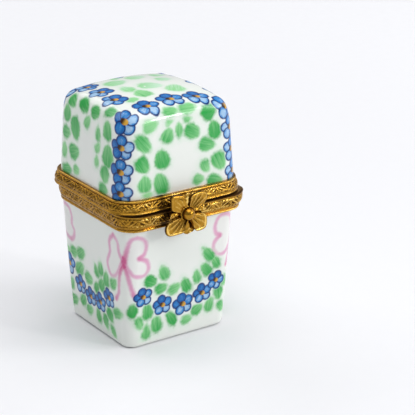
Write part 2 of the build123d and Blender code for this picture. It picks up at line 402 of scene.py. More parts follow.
def paint_stroke(skin, side, points, width, heavy_end):
    """A soft ribbon stroke, broad and dark at its first point and finer towards its last."""
    layers = skin.layers
    line = smooth_line(points)
    u, v = line.mean(0)
    x, y = skin.local(side, u, v)
    offset = line - (u, v)
    near = np.flatnonzero(np.hypot(x, y) < np.hypot(*offset.T).max() + 2)
    gap = np.hypot(x[near, None] - offset[:, 0], y[near, None] - offset[:, 1])
    t = np.linspace(0, 1, len(line))
    press = np.exp(-t / heavy_end) + 0.6 * np.exp(-(1 - t) / 0.2)
    edge = width * (0.42 + 0.3 * press) - gap
    best = edge.argmax(1)
    value = edge[np.arange(len(near)), best]
    over = value > layers["ribbon"][near]
    layers["ribbon"][near[over]] = value[over]
    layers["ribbon_tone"][near[over]] = press[best[over]]


def paint_wash(skin, side, points):
    """A faint tint inside a ribbon's loop."""
    line = smooth_line(points, 6)
    u, v = line.mean(0)
    x, y = skin.local(side, u, v)
    loop = line - (u, v)
    angle = np.arctan2(loop[:, 1], loop[:, 0])
    reach = np.hypot(*loop.T)
    edge = np.interp(np.arctan2(y, x), angle, reach, period=2 * pi)
    skin.layers["ribbon_wash"] = np.maximum(skin.layers["ribbon_wash"], edge - np.hypot(x, y))


# Leaves are (u, v, length, width, turn, tone), u from the middle of a side and v from the foot's
# plane, up over the shoulder. Tone 1 is the deepest green.
LID_FRONT_LEAVES = [
    (-7.8, 53.8, 3.6, 2.8, 20, 0.25), (-2.2, 56.3, 3.6, 2.4, 0, 0.55), (2.6, 56.4, 4.2, 2.8, 0, 0.45),
    (7.9, 54.6, 4.0, 3.4, 30, 0.95), (1.9, 53.7, 2.2, 1.5, 0, 0.5), (-2.8, 53.9, 1.8, 1.2, 20, 0.2),
    (-3.4, 50.8, 3.3, 3.1, 60, 0.65), (-0.3, 51.7, 3.1, 2.0, 90, 0.5), (3.1, 50.8, 4.2, 3.3, -30, 0.7),
    (9.1, 50.1, 4.1, 3.1, 100, 0.85), (-9.9, 50.1, 4.9, 2.9, -50, 0.7), (7.0, 47.0, 4.0, 3.0, -20, 0.7),
    (-5.2, 45.8, 4.3, 3.6, 100, 0.8), (-10.3, 45.4, 3.9, 3.2, -60, 0.85), (10.0, 42.6, 4.3, 3.4, -65, 0.65),
    (6.3, 42.0, 3.2, 2.4, -60, 0.55), (-10.0, 40.8, 3.6, 3.1, 90, 0.6), (-5.8, 40.2, 4.8, 3.4, 105, 0.7),
    (4.4, 39.2, 2.8, 2.4, 0, 0.5), (8.6, 38.2, 3.8, 2.6, -15, 0.7), (-9.4, 38.2, 2.6, 1.4, 0, 0.2),
]
LID_LEFT_LEAVES = [
    (-8.3, 55.1, 3.4, 3.0, -30, 0.75), (-3.0, 55.4, 4.3, 3.2, -30, 0.95), (2.3, 55.1, 3.4, 3.0, 0, 0.75),
    (7.4, 56.6, 3.8, 2.4, 10, 0.85), (-9.8, 52.0, 3.6, 3.0, 90, 0.7), (-0.7, 52.1, 3.0, 2.4, 60, 0.55),
    (-5.8, 49.3, 5.2, 3.8, -75, 0.85), (4.2, 50.6, 3.2, 2.0, 90, 0.6), (8.0, 52.2, 4.2, 3.2, 110, 0.7),
    (-9.9, 47.4, 3.6, 3.0, 0, 0.65), (4.2, 47.4, 2.6, 2.0, 45, 0.35), (8.8, 46.7, 4.8, 4.2, 90, 0.75),
    (-10.7, 43.0, 3.4, 2.6, 90, 0.4), (-6.1, 43.6, 4.2, 3.6, 20, 0.75), (4.0, 44.2, 2.6, 1.9, 90, 0.35),
    (7.7, 42.0, 3.9, 3.4, -80, 0.7), (-9.2, 38.5, 4.2, 2.8, 10, 0.75), (-4.8, 39.5, 2.6, 2.2, 0, 0.35),
    (7.3, 38.5, 3.4, 2.8, 0, 0.7),
]
LID_TOP_LEAVES = [
    (-3.1, -3.9, 4.4, 3.5, 90, 0.35), (-4.3, 0.6, 4.2, 2.8, 95, -0.1), (-3.6, 7.1, 4.8, 4.2, 0, -0.15),
    (1.4, 0.0, 5.0, 4.2, -30, -0.25), (5.6, -4.1, 4.6, 4.0, 60, -0.1), (-7.1, -6.1, 2.9, 2.4, 20, 0.25),
    (2.9, 8.8, 4.4, 3.4, 10, -0.25), (7.4, 3.8, 3.4, 3.0, 0, -0.3), (8.8, 8.6, 3.2, 2.8, 0, -0.25),
    (-1.2, 11.0, 2.6, 2.2, 0, -0.2),
]
BASE_FRONT_LEAVES = [
    (-8.2, 16.6, 3.3, 2.8, -30, 0.9), (-4.6, 17.9, 3.8, 2.5, 115, 0.6), (-5.3, 14.1, 3.2, 2.5, 10, 0.7),
    (-1.7, 13.1, 3.3, 2.5, 20, 0.5), (1.6, 13.2, 4.2, 2.5, 115, 0.8), (4.6, 14.7, 3.2, 2.2, 100, 0.6),
    (7.1, 15.9, 3.9, 2.5, 125, 0.8), (7.5, 19.7, 4.4, 2.4, 128, 0.7), (9.8, 17.2, 3.2, 2.2, 120, 0.7),
    (12.3, 11.8, 3.4, 2.4, -35, 0.6), (10.8, 8.9, 3.6, 2.6, -80, 0.75), (11.8, 5.1, 3.2, 2.2, -55, 0.6),
    (8.3, 6.4, 3.6, 2.5, 75, 0.6), (4.9, 5.9, 3.2, 2.7, 30, 0.7), (1.9, 4.1, 3.0, 2.3, 20, 0.5),
    (-2.3, 5.6, 4.2, 2.4, 120, 0.85), (-6.3, 5.0, 4.2, 2.8, 95, 0.7), (-8.8, 8.9, 4.2, 2.5, 95, 0.75),
    (-8.9, 3.6, 3.8, 2.1, 90, 0.6), (-10.9, 6.4, 3.4, 2.2, -70, 0.55), (-12.5, 9.8, 3.4, 2.4, 90, 0.95),
]
BASE_LEFT_LEAVES = [
    (-12.0, 16.9, 3.0, 2.6, 0, 0.4), (-8.9, 17.6, 3.2, 2.8, 0, 0.6), (-5.7, 18.2, 4.2, 2.8, 35, 0.7),
    (-6.6, 13.9, 4.2, 3.2, 45, 0.7), (-2.6, 12.8, 3.4, 3.0, 0, 0.6), (1.3, 16.1, 3.2, 2.0, 110, 0.7),
    (3.4, 17.3, 3.6, 2.4, 90, 0.7), (5.6, 15.4, 3.8, 2.6, 80, 0.7), (8.9, 15.6, 3.2, 2.4, 40, 0.6),
    (3.4, 13.2, 3.4, 2.8, 60, 0.8), (0.9, 11.6, 3.2, 2.2, 80, 0.9), (10.0, 8.4, 3.8, 2.5, 15, 0.6),
    (6.5, 6.6, 3.6, 2.8, -60, 0.85), (4.3, 4.2, 3.6, 2.3, -70, 0.7), (7.5, 2.8, 3.4, 1.9, -60, 0.5),
    (1.1, 4.5, 3.4, 2.2, 100, 0.7), (-3.1, 4.5, 3.0, 2.4, 20, 0.5), (-5.9, 6.0, 3.4, 2.6, 60, 0.7),
    (-10.7, 4.5, 4.0, 2.8, 20, 0.7), (-11.3, 8.5, 3.2, 2.6, 60, 0.6),
]
# Flowers are (u, v, size, turn, pale)
LID_CORNER_FLOWERS = [
    (-0.5, 55.6, 6.7, 92, -10), (-0.9, 49.6, 5.8, 88, 0), (-1.1, 44.0, 5.9, 95, -5),
    (-1.1, 39.0, 5.6, 90, 5),
]
LID_RIGHT_CORNER_FLOWERS = [
    (-0.6, 54.9, 6.6, 88, 190), (-0.3, 49.7, 5.8, 92, 180), (-0.2, 44.4, 5.8, 85, 185),
    (-0.2, 39.2, 5.6, 90, 175),
]
LID_TOP_FLOWERS = [
    (-6.4, -10.9, 6.4, 75, -80), (0.4, -10.0, 6.6, 90, -85), (7.0, -10.7, 6.3, 80, -90),
    (-10.2, -3.4, 6.2, 50, 190), (-9.8, 3.2, 6.0, 40, 190), (-9.8, 9.6, 5.6, 60, 190),
]
FAR_LEAF_TOP = 53
FAR_SHOULDER_FLOWERS = [
    (-7.0, 55.6, 6.0, 75, 90), (-0.3, 56.4, 6.2, 90, 80), (6.6, 55.7, 6.0, 80, 90),
]
BASE_FRONT_FLOWERS = [
    (-10.0, 13.0, 4.8, 100, -50), (-4.8, 9.7, 5.1, 95, -70), (0.8, 8.5, 5.7, 95, -60),
    (6.2, 10.0, 5.1, 100, -60), (9.9, 12.5, 4.7, 70, -70),
]
BASE_LEFT_FLOWERS = [
    (-11.7, 13.8, 5.6, 80, -60), (-6.9, 9.8, 4.9, 90, -70), (-2.3, 8.2, 4.9, 100, -60),
    (2.2, 8.4, 4.9, 90, -50), (6.4, 11.0, 4.9, 100, -50),
]
# A bow's strokes, each as (u, v) from the middle of a corner
NOTCHED_LOOP = [
    (-0.7, 22.8), (0.6, 27.3), (2.3, 28.4), (4.2, 27.5), (4.8, 25.8), (4.2, 24.0), (2.9, 23.1), (4.6, 22.2),
    (5.3, 20.6), (4.7, 18.9), (3.2, 18.4), (1.4, 19.0), (0.0, 20.7), (-0.7, 22.3),
]
WIDE_LOOP = [
    (-0.9, 22.8), (-2.1, 24.4), (-2.7, 27.0), (-4.3, 28.3), (-6.1, 26.4), (-6.0, 23.6), (-7.3, 20.4),
    (-5.9, 17.6), (-3.7, 18.3), (-1.8, 21.0), (-0.9, 22.4),
]
TALL_LOOP = [
    (0.2, 24.4), (0.9, 27.4), (2.3, 29.1), (4.6, 28.7), (5.6, 26.8), (5.4, 24.6), (6.2, 23.2), (5.6, 21.4),
    (4.2, 20.5), (2.2, 21.2), (0.9, 22.9), (0.2, 24.0),
]
HEART_LOOP = [
    (0.9, 24.6), (-0.3, 27.9), (-2.7, 29.1), (-4.5, 28.6), (-5.3, 26.6), (-4.9, 24.9), (-3.7, 23.9),
    (-5.0, 22.6), (-5.2, 20.7), (-3.9, 19.2), (-2.0, 19.1), (-0.3, 20.7), (0.8, 23.2),
]
LEFT_TAIL = [(-0.9, 22.2), (-2.1, 19.2), (-2.5, 16.3), (-2.7, 13.9), (-3.8, 12.2)]
SHORT_TAIL = [(0.7, 22.9), (0.3, 20.4), (-0.3, 17.9), (-0.8, 15.8)]
RIGHT_TAIL = [(-0.8, 22.2), (0.0, 19.2), (0.7, 16.3), (1.4, 13.9)]


def mirrored(motifs):
    """Leaves or flowers with left and right exchanged."""
    swapped = []
    for u, v, size, fourth, turn, *tone in motifs:
        fourth = fourth if tone else 180 - fourth  # a leaf's width, or a flower's turn
        swapped.append((-u, v, size, fourth, 180 - turn, *tone))
    return swapped


def flipped(line):
    return [(-u, v) for u, v in line]


# Each corner's bow: its knot, then its loops and tails
BOWS = {
    3.5: ((-0.8, 22.4), (NOTCHED_LOOP, WIDE_LOOP), (RIGHT_TAIL, LEFT_TAIL)),
    0.5: ((1.3, 23.9), (HEART_LOOP, flipped(WIDE_LOOP)), (flipped(LEFT_TAIL), SHORT_TAIL)),
    1.5: ((0.8, 22.4), (flipped(NOTCHED_LOOP), flipped(WIDE_LOOP)), (RIGHT_TAIL, flipped(LEFT_TAIL))),
    2.5: ((0.2, 24.1), (TALL_LOOP, flipped(NOTCHED_LOOP)), (RIGHT_TAIL, flipped(RIGHT_TAIL))),
}


def paint_bow(skin, corner, knot, loops, tails):
    """Each loop is two strokes from the knot that meet where the loop comes nearest to it."""
    for loop in loops:
        paint_wash(skin, corner, loop)
        notch = min(range(3, len(loop) - 3), key=lambda k: abs(loop[k][0]))
        paint_stroke(skin, corner, loop[: notch + 1], 1.15, 0.12)
        paint_stroke(skin, corner, loop[: notch - 1 : -1], 1.15, 0.12)
    for tail in tails:
        paint_stroke(skin, corner, tail, 1.1, 0.45)
    u, v = knot
    paint_stroke(skin, corner, [(u - 0.1, v + 0.9), (u, v), (u + 0.1, v - 1.1)], 1.2, 3.0)


def all_sides(front, left):
    """The motifs of sides 0 to 3. The far sides mirror the near ones."""
    return front, mirrored(left), mirrored(front), left


def paint_motifs(skin, side, motifs):
    """Leaves have six numbers, and flowers five."""
    for motif in motifs:
        paint = paint_leaf if len(motif) == 6 else paint_flower
        paint(skin, side, *motif)


def paint_lid(skin):
    """On the far sides, flowers take the place of the highest leaves."""
    for side, leaves in enumerate(all_sides(LID_FRONT_LEAVES, LID_LEFT_LEAVES)):
        top = FAR_LEAF_TOP if side in (1, 2) else OUT_OF_REACH
        paint_motifs(skin, side, [leaf for leaf in leaves if leaf[1] < top])
    paint_motifs(skin, "top", LID_TOP_LEAVES)
    for corner in (0.5, 1.5, 2.5, 3.5):
        paint_motifs(skin, corner, LID_CORNER_FLOWERS if corner > 1 else LID_RIGHT_CORNER_FLOWERS)
    paint_motifs(skin, "top", LID_TOP_FLOWERS)
    for side in (1, 2):
        paint_motifs(skin, side, FAR_SHOULDER_FLOWERS)


def paint_base(skin):
    for corner, bow in BOWS.items():
        paint_bow(skin, corner, *bow)
    front, left = BASE_FRONT_LEAVES + BASE_FRONT_FLOWERS, BASE_LEFT_LEAVES + BASE_LEFT_FLOWERS
    for side, motifs in enumerate(all_sides(front, left)):
        paint_motifs(skin, side, motifs)


# ---- materials ----
def srgb(r, g, b):
    """A linear colour from 0-255 display values."""
    c = np.array([r, g, b]) / 255
    linear = np.where(c <= 0.04045, c / 12.92, ((c + 0.055) / 1.055) ** 2.4)
    return (*linear.tolist(), 1.0)


class Nodes:
    """A small builder of shader nodes. An input is a number, a 0-255 colour or a node's output."""

    def __init__(self, name):
        self.material = bpy.data.materials.new(name)
        self.material.use_nodes = True
        self.tree = self.material.node_tree
        self.tree.nodes.clear()

    def add(self, kind, inputs=None, **settings):
        node = self.tree.nodes.new("ShaderNode" + kind)
        for key, value in settings.items():
            setattr(node, key, value)
        for key, value in (inputs or {}).items():
            if isinstance(value, bpy.types.NodeSocket):
                self.tree.links.new(value, node.inputs[key])
            else:
                node.inputs[key].default_value = srgb(*value) if isinstance(value, tuple) else value
        return node

    def layer(self, name, kind="Fac"):
        return self.add("Attribute", attribute_name=name).outputs[kind]

    def math(self, operation, a, b=0.0, c=0.0):
        return self.add("Math", {0: a, 1: b, 2: c}, operation=operation).outputs[0]

    def ramp(self, value, low, high, to_low=0.0, to_high=1.0):
        """A smooth step from to_low to to_high as value goes from low to high."""
        inputs = dict(enumerate((value, low, high, to_low, to_high)))
        return self.add("MapRange", inputs, interpolation_type="SMOOTHSTEP").outputs[0]

    def mix(self, factor, a, b):
        return self.add("Mix", {0: factor, 6: a, 7: b}, data_type="RGBA").outputs[2]

    def sway(self, value, span):
        """A 0-to-1 value spread evenly about zero."""
        return self.math("MULTIPLY_ADD", value, span, -span / 2)

    def noise(self, vector, scale, detail=3.0, rough=0.55):
        inputs = {"Vector": vector, "Scale": scale, "Detail": detail, "Roughness": rough}
        return self.add("TexNoise", inputs).outputs["Fac"]

    def place(self):
        return self.add("TexCoord").outputs["Object"]

    def bump(self, height, strength, distance, **under):
        inputs = {"Height": height, "Strength": strength, "Distance": distance}
        return self.add("Bump", inputs | under).outputs[0]

    def finish(self, **inputs):
        named = {key.replace("_", " "): value for key, value in inputs.items()}
        shader = self.add("BsdfPrincipled", named)
        self.add("OutputMaterial", {0: shader.outputs[0]})
        return self.material


def porcelain_material():
    """White glaze over the painted flowers, leaves and bows."""
    n = Nodes("painted_porcelain")
    place, grain = n.place(), n.layer("grain", "Vector")
    streak = n.noise(grain, 1.6, 4.0, 0.6)
    wobble = n.sway(n.noise(place, 1100.0), 0.44)
    cloud = n.noise(place, 110.0, 2.0)
    colour = n.mix(cloud, (234, 238, 232), (242, 245, 239))

    # Bows: a pink line, rosier where the brush was pressed, and a faint wash inside the loops
    wash = n.ramp(n.layer("ribbon_wash"), -0.3, 0.6, 0.0, 0.15)
    colour = n.mix(wash, colour, (240, 222, 232))
    ribbon = n.math("ADD", n.layer("ribbon"), wobble)
    pressed = n.ramp(n.layer("ribbon_tone"), 0.1, 1.1)
    pressed = n.math("MULTIPLY", pressed, n.ramp(ribbon, -0.1, 0.75, 0.35, 1.0))
    pink = n.mix(pressed, (228, 172, 202), (206, 74, 136))
    strength = n.ramp(ribbon, -0.35, 0.45)
    strength = n.math("MULTIPLY", strength, n.ramp(cloud, 0.2, 0.7, 0.8, 1.0))
    colour = n.mix(strength, colour, pink)

    # Leaves: streaky green with a soft edge and a trace of green around it
    ragged = n.sway(n.noise(place, 620.0, 2.0), 0.9)
    leaf = n.math("ADD", n.layer("leaf"), n.math("ADD", wobble, ragged))
    halo = n.ramp(leaf, -1.3, 0.1, 0.0, 0.34)
    colour = n.mix(halo, colour, (200, 232, 205))
    shade = n.math("ADD", n.layer("leaf_tone"), n.sway(streak, 1.1))
    green = n.mix(n.ramp(shade, 0.05, 1.1), (150, 218, 152), (48, 166, 76))
    green = n.mix(n.ramp(shade, -0.6, 0.1, 1.0, 0.0), green, (204, 238, 212))
    colour = n.mix(n.ramp(leaf, -0.42, 0.5), colour, green)

    # Flowers: petals from deep to pale blue, then navy outlines and an amber eye
    petal = n.layer("petal")
    colour = n.mix(n.ramp(petal, -0.7, 0.0, 0.0, 0.35), colour, (205, 216, 244))
    thin = n.ramp(petal, 0.1, 0.85, -0.28, 0.2)
    tint = n.math("ADD", n.layer("petal_tone"), n.sway(streak, 1.3))
    tint = n.math("ADD", tint, thin)
    blue = n.mix(n.ramp(tint, -0.1, 0.6), (4, 92, 170), (48, 132, 204))
    blue = n.mix(n.ramp(tint, 0.5, 1.15), blue, (162, 198, 230))
    colour = n.mix(n.ramp(petal, -0.06, 0.06), colour, blue)
    line = n.math("ADD", n.layer("outline"), n.math("MULTIPLY", wobble, 0.5))
    colour = n.mix(n.ramp(line, 0.07, 0.27, 0.95, 0.0), colour, (2, 42, 106))
    eye = n.ramp(n.math("ADD", n.layer("eye"), n.math("MULTIPLY", wobble, 0.4)), -0.06, 0.1)
    amber = n.mix(n.ramp(n.layer("eye_side"), -0.45, 0.5), (58, 36, 24), (216, 164, 62))
    colour = n.mix(eye, colour, amber)

    # The foot's standing edge is bare, matt porcelain
    bare = n.ramp(n.add("SeparateXYZ", {0: place}).outputs[2], 0.00002, 0.00012, 1.0, 0.0)
    colour = n.mix(n.math("MULTIPLY", bare, 0.5), colour, (214, 208, 198))
    rough = n.ramp(n.math("MAXIMUM", leaf, petal), -0.1, 0.2, 0.07, 0.15)
    rough = n.math("MAXIMUM", rough, n.math("MULTIPLY", bare, 0.7))
    ripple = n.bump(n.noise(place, 140.0, 1.0), 0.25, 0.00016)
    return n.finish(Base_Color=colour, Roughness=rough, Normal=ripple, Specular_IOR_Level=0.36)


def brass_material(name, chased=False):
    """Aged gilt brass. On chased pieces a layer holds dark patina, painted shade, polish and painted
    highlights.
    """
    n = Nodes(name)
    place = n.place()
    blotch = n.noise(place, 330.0, 4.0, 0.6)
    fine = n.noise(place, 2600.0, 3.0, 0.65)
    gold = n.mix(blotch, (160, 114, 32), (196, 148, 54))
    gold = n.mix(n.ramp(fine, 0.4, 0.8, 0.0, 0.4), gold, (136, 94, 36))
    rough = n.ramp(blotch, 0.3, 0.7, 0.2, 0.34)
    if chased:
        # High values of the layer are patina and painted shade; low values are polish and painted highlights.
        patina_and_painted_light = n.math("ADD", n.layer("patina_and_painted_light"), n.sway(fine, 0.5))
        colour = n.mix(n.ramp(patina_and_painted_light, 0.15, 1.0), gold, (66, 42, 16))
        colour = n.mix(n.ramp(patina_and_painted_light, -0.1, -0.5), colour, (244, 204, 112))
        rough = n.math("MAXIMUM", rough, n.ramp(patina_and_painted_light, 0.3, 0.9, 0.2, 0.6))
    else:
        colour = n.mix(n.ramp(blotch, 0.62, 0.4, 0.0, 0.35), gold, (92, 58, 20))
    dents = n.bump(n.noise(place, 1500.0), 0.35, 0.00006)
    dents = n.bump(fine, 0.25, 0.00003, Normal=dents)
    return n.finish(Base_Color=colour, Metallic=1.0, Roughness=rough, Normal=dents)


def plaster_material():
    n = Nodes("old_plaster")
    grains = n.noise(n.place(), 1800.0, 5.0, 0.7)
    colour = n.mix(grains, (198, 190, 172), (226, 220, 206))
    return n.finish(Base_Color=colour, Roughness=0.9, Normal=n.bump(grains, 0.6, 0.0001))


def floor_material():
    """Plain pale paper, with painted light that makes it a little lighter away from the object."""
    n = Nodes("pale_floor")
    place = n.place()
    away = n.add("VectorMath", {0: place}, operation="LENGTH").outputs["Value"]
    colour = n.mix(n.ramp(away, 0.1, 0.4), (236, 236, 239), (246, 246, 249))
    fibres = n.noise(place, 300.0)
    colour = n.mix(n.ramp(fibres, 0.3, 0.7, 0.0, 0.12), colour, (232, 232, 235))
    return n.finish(Base_Color=colour, Roughness=0.7)


# ---- porcelain pieces ----
porcelain = porcelain_material()
for name, skin, paint, node, body in (
    ("painted_base", base_skin(), paint_base, "porcelain_base", "base"),
    ("painted_lid", lid_skin(), paint_lid, "porcelain_lid", "lid"),
):
    paint(skin)
    piece = mesh_object(name, skin.points, skin.faces, skin.layers)
    piece.data.materials.append(porcelain)
    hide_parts(node)
    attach(piece, body)


# ---- bezels ----
def arc_through(a, b, c, steps):
    """Points from a towards c on the circle through a, b and c, without c itself."""
    a, b, c = (complex(*p) for p in (a, b, c))
    w = (c - a) / (b - a)
    centre = a - (a - b) * (w - abs(w) ** 2) / (2j * w.imag)
    start, end = a - centre, c - centre
    sweep = np.angle(end / start)
    middle = np.angle((b - centre) / start)
    if middle * sweep < 0:
        sweep -= copysign(2 * pi, sweep)
    points = centre + start * np.exp(1j * sweep * np.arange(steps) / steps)
    return [(p.real, p.imag) for p in points]


def straight(a, b, steps):
    t = np.arange(steps) / steps
    return [(a[0] + (b[0] - a[0]) * k, a[1] + (b[1] - a[1]) * k) for k in t]


BEAD_ROWS, FACE_ROWS = 6, 6
SEAM_ROWS = BEAD_ROWS + FACE_ROWS  # from the band's end, round the seam's bead and over its face


def bezel_outline(edge, edge_z, rim_z, seam_z, crest, inner_half, band_rows):
    """The closed section as (half width, height), and where its chased band starts and ends."""
    up = 1 if seam_z > edge_z else -1
    lip = edge + STRIP + 0.05
    lip_z, shoulder_z = edge_z + up * BEAD, seam_z - up * BEAD
    low, high = (lip, lip_z), (crest - 0.12, shoulder_z)
    middle = (crest - 0.02, lip_z + 0.62 * (shoulder_z - lip_z))
    inside = edge - 0.3
    points = straight((inside, edge_z), (lip, edge_z), 5)
    points += arc_through((lip, edge_z), (lip + 0.3, (edge_z + lip_z) / 2), low, BEAD_ROWS)
    first = len(points)
    points += arc_through(low, middle, high, band_rows)
    last = len(points)
    seam_bead = (crest + 0.1, (shoulder_z + seam_z) / 2)
    corners = [(crest - 0.12, seam_z), (inner_half, seam_z), (inner_half, rim_z)]
    corners += [(crest - STRIP, rim_z), (inside, edge_z + up * STRIP), (inside, edge_z)]
    points += arc_through(high, seam_bead, corners[0], BEAD_ROWS)
    for a, b, steps in zip(corners, corners[1:], (FACE_ROWS, 3, 3, 3, 2)):
        points += straight(a, b, steps)
    return np.array(points), first, last


def bell(x, width, power=2):
    return np.exp(-((x / width) ** power))


# The scroll's leaves as (x, y, length, turn), with x as a share of a bend and y of the half height
SCROLL_LEAVES = (
    (-0.32, -0.62, 0.5, 35), (0.0, -0.76, 0.36, 90), (0.32, -0.62, 0.5, -35),
    (-0.36, 0.68, 0.45, 20), (0.36, 0.68, 0.45, -20),
)
SCROLL_LEAF_WIDTH = 0.2


def scroll_relief(s, t, pitch, half):
    """Relief, 0 to 1, of a running scroll: a waving stem with a curl and leaves in every bend."""
    s = s + 0.22 * np.sin(s * 0.83) + 0.13 * np.sin(s * 2.1 + 1)
    bend = np.floor(2 * s / pitch)
    side = np.where(bend % 2 == 0, 1.0, -1.0)
    x, y = s - (bend + 0.5) * pitch / 2, t * side / half
    stem = 0.62 * np.cos(2 * pi * x / pitch)
    slope = 0.62 * half * 2 * pi / pitch * np.sin(2 * pi * x / pitch)
    edge = np.abs(y - stem) * half / np.hypot(1, slope) - 0.15
    y = y * half
    curl = np.hypot(x - 0.05, y + 0.1 * half)
    angle = np.arctan2(y + 0.1 * half, x - 0.05)
    edge = np.minimum(edge, np.abs(curl - 0.24 * half - 0.06 * half * angle) - 0.11)
    edge = np.minimum(edge, curl - 0.16)
    for x0, y0, length, turn in SCROLL_LEAVES:
        a, b = turned(x - x0 * pitch / 2, y - y0 * half, turn)
        leaf = (np.hypot(a / length, b / SCROLL_LEAF_WIDTH) - 1) * SCROLL_LEAF_WIDTH
        edge = np.minimum(edge, leaf)
    return unit(0.5 - edge / 0.14)


BEZEL_STEPS = (170, 72)
SCROLL_PITCH, CHASED_DEPTH = 5.0, 0.15
# Grime and a painted shadow of the clasp's flower darken the bezel beside the clasp
GRIME_AND_SHADOW_X, GRIME_AND_SHADOW_WIDTH = CLASP_X - 5.7, 1.25  # a dark patch beside the clasp
LEDGE_ROWS, LEDGE_REACH, LEDGE_DROP = 8, 1.2, 0.42  # how the lower bezel's bare end is rounded off


def chased_bezel(name, node, body, shift, corner_centre, outline, first, last, chased, lean, tarnish):
    """Sweeps the section round the box, chases its band and cuts it back around the hinge barrel.

    chased is the share of the band that the scroll takes, from its start at the bezel's edge to its
    end at the seam. lean is how far the band's crest leans to +X, and the ledge that then shows past
    the other bezel is rounded off. tarnish darkens the front and the right.
    """
    rows = len(outline)
    across, _ = distance_along(outline)
    tangent = np.roll(outline, -1, 0) - np.roll(outline, 1, 0)
    tangent /= np.hypot(*tangent.T)[:, None]
    turning = np.sign(outline[last, 1] - outline[first, 1])
    band = across[last] - across[first]
    low, high = (across[first] + share * band for share in chased)
    middle, half = (low + high) / 2, (high - low) / 2
    lip, crest = outline[first, 0], outline[:, 0].max()
    points, patina_and_painted_light = [], []
    for r in range(rows):
        corner = max(outline[r, 0] - corner_centre, 0.2)
        ring, normals = rounded_ring(outline[r, 0], corner, *BEZEL_STEPS)
        left = unit(-normals[:, 0])
        distance, length = distance_along(ring)
        out, rise = tangent[r, 1] * turning, -tangent[r, 0] * turning
        lift, dark = np.zeros(len(ring)), np.zeros(len(ring))
        if first - 5 <= r <= last + 5:
            dark += 0.15 * np.sin(distance * 0.9 + 0.3 * r) * np.sin(distance * 0.37)
            lift += 0.015 * np.sin(distance * 1.7 + 0.4 * r) * np.sin(distance * 0.61)
        if low < across[r] < high:
            repeats = round(length / SCROLL_PITCH)
            span = distance / length * repeats * SCROLL_PITCH
            relief = scroll_relief(span, across[r] - middle, SCROLL_PITCH, half)
            border = unit((half - abs(across[r] - middle)) / 0.14)
            stipple = rng.uniform(-1, 1, len(ring)) * (1 - relief)
            wear = 0.5 + 0.5 * np.sin(distance * 0.53 + 1) * np.sin(distance * 0.19)
            lift += border * (CHASED_DEPTH * (relief - 0.85) + 0.02 * stipple)
            patina = (1 - relief) * (0.55 + 0.5 * wear) - 0.45 * relief
            # The patina's contrast is lowered on the side facing -X, where less light falls
            dark += (1 - 0.4 * left) * border * patina
        elif first <= r < last:
            dark += 0.12 + 0.1 * np.sin(distance * 3.1 + r)
        if abs(across[r] - low) < 0.12 or abs(across[r] - high) < 0.12:
            dark += 0.3
            lift -= 0.04
        # The beads on both sides of the band are lighter, partly rubbed bright and partly a painted
        # highlight, and the seam is in painted shade
        if first - 5 <= r < first - 1 or last + 1 <= r < last + 4:
            dark -= 0.3
        # Painted shade in the gap at the seam, strongest on the front
        if last + 3 <= r < last + 7:
            dark += 1.2 * np.clip(-normals[:, 1], 0.1, 1)
        # Painted shade over the seam's face, mottled like tarnish, and lighter where the ledge faces +X
        if last + 9 <= r < last + SEAM_ROWS:
            seam_shade = 0.55 + 0.1 * np.sin(distance * 0.7) * np.sin(distance * 0.31)
            dark += seam_shade * (1 - 1.8 * unit(normals[:, 0]))
        # Painted shade on the side that faces -X, away from the lamps
        dark += 0.25 * left
        dark += tarnish * unit(normals[:, 0] - normals[:, 1])
        # Grime and the flower's painted shadow, on the front only
        if r <= last + BEAD_ROWS:
            grime_and_shadow = bell(ring[:, 0] - GRIME_AND_SHADOW_X, GRIME_AND_SHADOW_WIDTH)
            dark += 0.9 * grime_and_shadow * (ring[:, 1] < 0)
        plan = ring + normals * (out * lift)[:, None]
        height = outline[r, 1] + rise * lift
        moved = plan[:, 0] + shift + lean * max(outline[r, 0] - lip, 0) / (crest - lip)
        if lean > 0 and last - LEDGE_ROWS < r < last + SEAM_ROWS:
            beyond = np.clip(moved - upper_high.x, 0, LEDGE_REACH)
            height = height - LEDGE_DROP * beyond**2 * min((r - last + LEDGE_ROWS) / LEDGE_ROWS, 1)
        points.append(np.column_stack([moved, plan[:, 1], height]))
        patina_and_painted_light.append(dark)
    points, patina_and_painted_light = np.concatenate(points), np.concatenate(patina_and_painted_light)
    y, z = points[:, 1] - HINGE_Y, points[:, 2] - HINGE_Z
    gap = np.hypot(y, z)
    inside = (gap < NOTCH_RADIUS) & (np.abs(points[:, 0]) < NOTCH_HALF_LENGTH)
    side = np.sign(outline[first, 1] - HINGE_Z)
    z = np.where(inside & (z * side < 0.15), 0.15 * side, z)
    y = np.where(inside & (y > 0), -0.01, y)
    gap = np.hypot(y, z)
    points[inside, 1] = (HINGE_Y + y / gap * NOTCH_RADIUS)[inside]
    points[inside, 2] = (HINGE_Z + z / gap * NOTCH_RADIUS)[inside]
    patina_and_painted_light[inside] = 0.4
    faces = tube_faces(rows, len(points) // rows, loop=True)
    if turning < 0:
        faces = [face[::-1] for face in faces]
    piece = mesh_object(name, points, faces, {"patina_and_painted_light": patina_and_painted_light})
    piece.data.materials.append(chased_brass)
    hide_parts(node)
    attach(piece, body)


